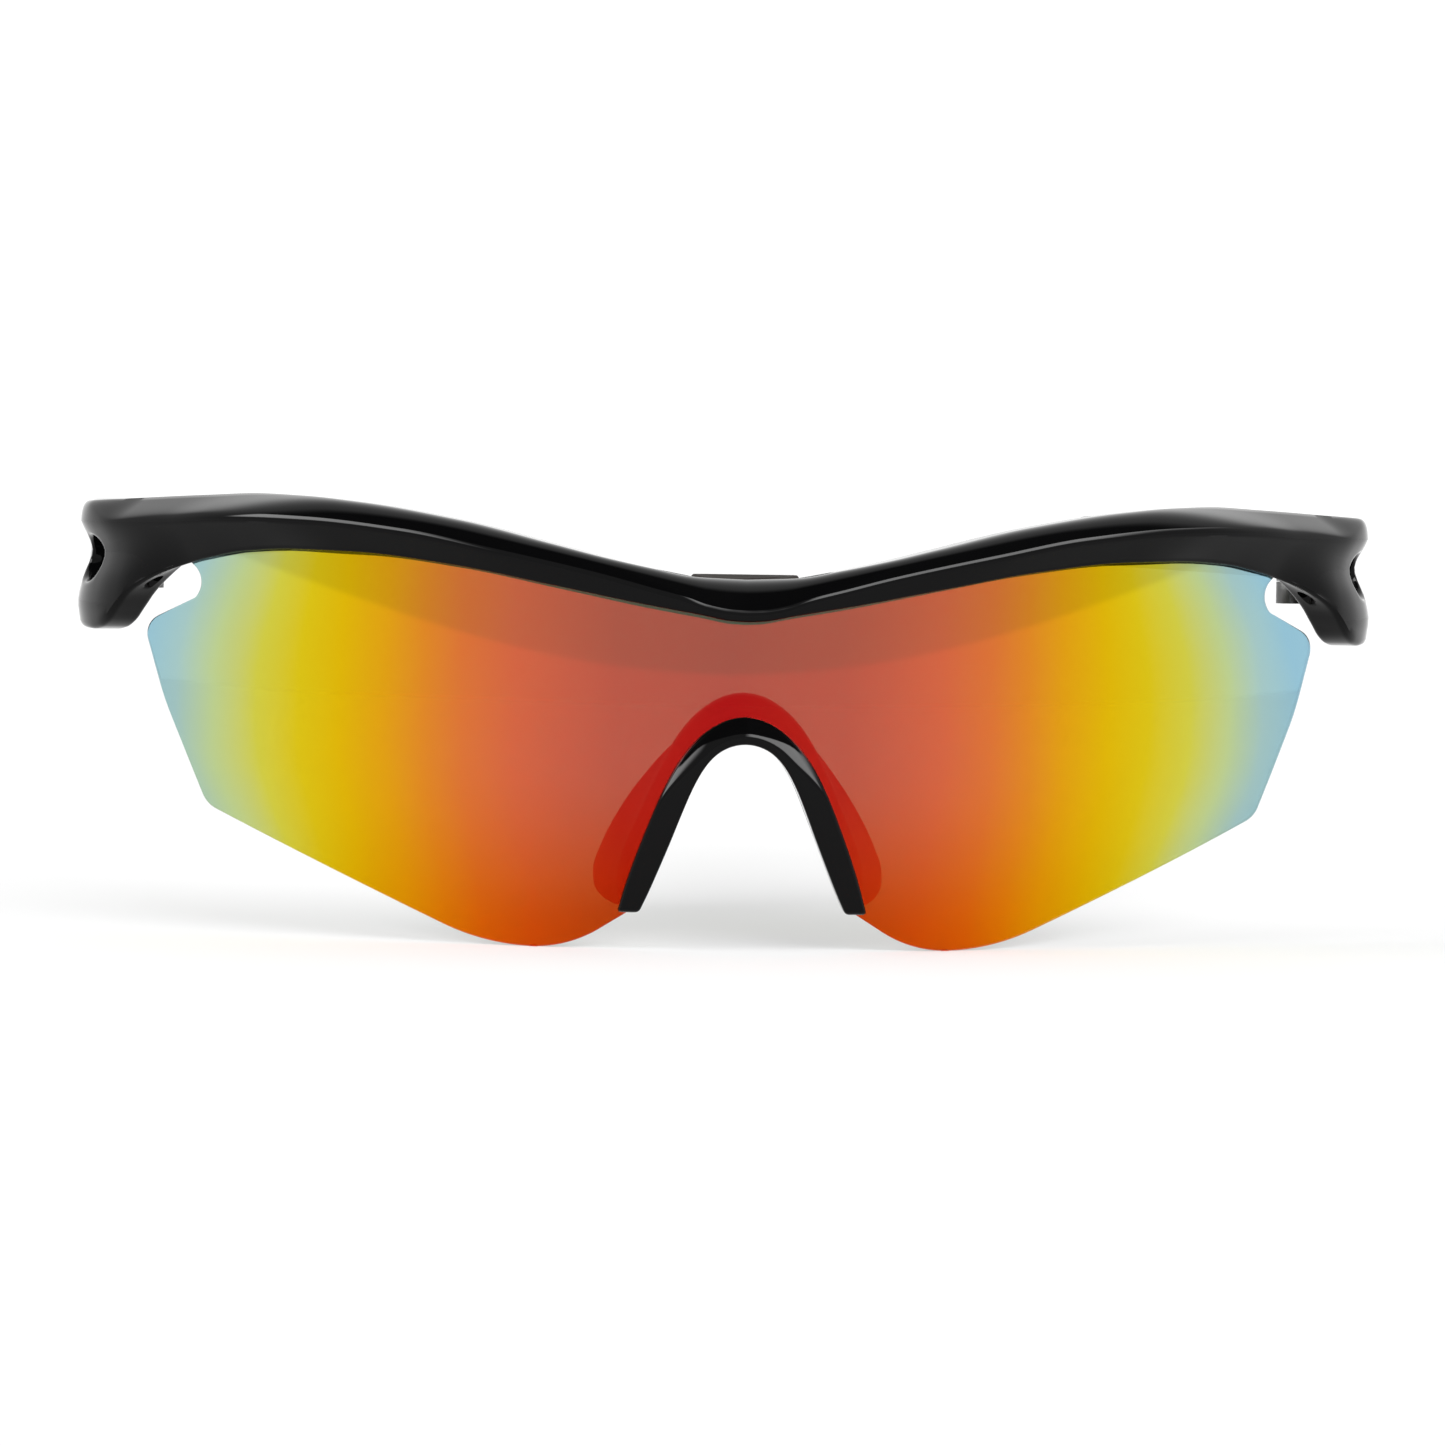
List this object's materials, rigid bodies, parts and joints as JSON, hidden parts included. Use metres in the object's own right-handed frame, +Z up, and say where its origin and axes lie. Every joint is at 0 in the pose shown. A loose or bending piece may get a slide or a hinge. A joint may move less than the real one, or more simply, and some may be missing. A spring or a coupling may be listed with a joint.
{
  "type": "wraparound sport sunglasses",
  "caption": "Half-frame wraparound sport sunglasses with a one-piece mirrored shield lens, a clip-in nose piece and folding temples with rubber tips.",
  "frame": {"origin": "on the table under the middle of the bounding box, with the temples open", "axes": "+Z up, the wearer looks along -Y, +X is the wearer's left, temples run back along +Y"},
  "size_m": [0.1452, 0.1604, 0.0474],
  "materials": {
    "gloss_black": "polished injection-moulded nylon",
    "mirror_lens": "polycarbonate with an iridescent mirror coating",
    "satin_black": "satin nylon",
    "soft_rubber": "matte elastomer",
    "brow_rubber": "matte elastomer",
    "hinge_steel": "stamped stainless steel",
    "fastener_steel": "turned stainless steel"
  },
  "bodies": {
    "front": {"brow_frame": "gloss_black", "shield_lens": "mirror_lens", "brow_pad": "brow_rubber", "nose_rim": "gloss_black", "nose_saddle": "satin_black", "nose_pad_left": "soft_rubber", "nose_pad_right": "soft_rubber", "hinge_front_leaf_left": "hinge_steel", "hinge_front_leaf_right": "hinge_steel", "hinge_front_rivets_left": "fastener_steel", "hinge_front_rivets_right": "fastener_steel", "hinge_screw_left": "fastener_steel", "hinge_screw_right": "fastener_steel"},
    "temple_left": {"temple_arm_left": "gloss_black", "hinge_temple_leaf_left": "hinge_steel", "hinge_temple_rivets_left": "fastener_steel", "temple_tip_left": "soft_rubber"},
    "temple_right": {"temple_arm_right": "gloss_black", "hinge_temple_leaf_right": "hinge_steel", "hinge_temple_rivets_right": "fastener_steel", "temple_tip_right": "soft_rubber"}
  },
  "joints": [
    {"name": "temple_left_fold", "type": "hinge", "parent": "front", "child": "temple_left", "pos_m": [0.0648, -0.0218, 0.04], "axis": [0, 0, 1], "range_deg": [0, 90]},
    {"name": "temple_right_fold", "type": "hinge", "parent": "front", "child": "temple_right", "pos_m": [-0.0648, -0.0218, 0.04], "axis": [0, 0, -1], "range_deg": [0, 76]}
  ]
}
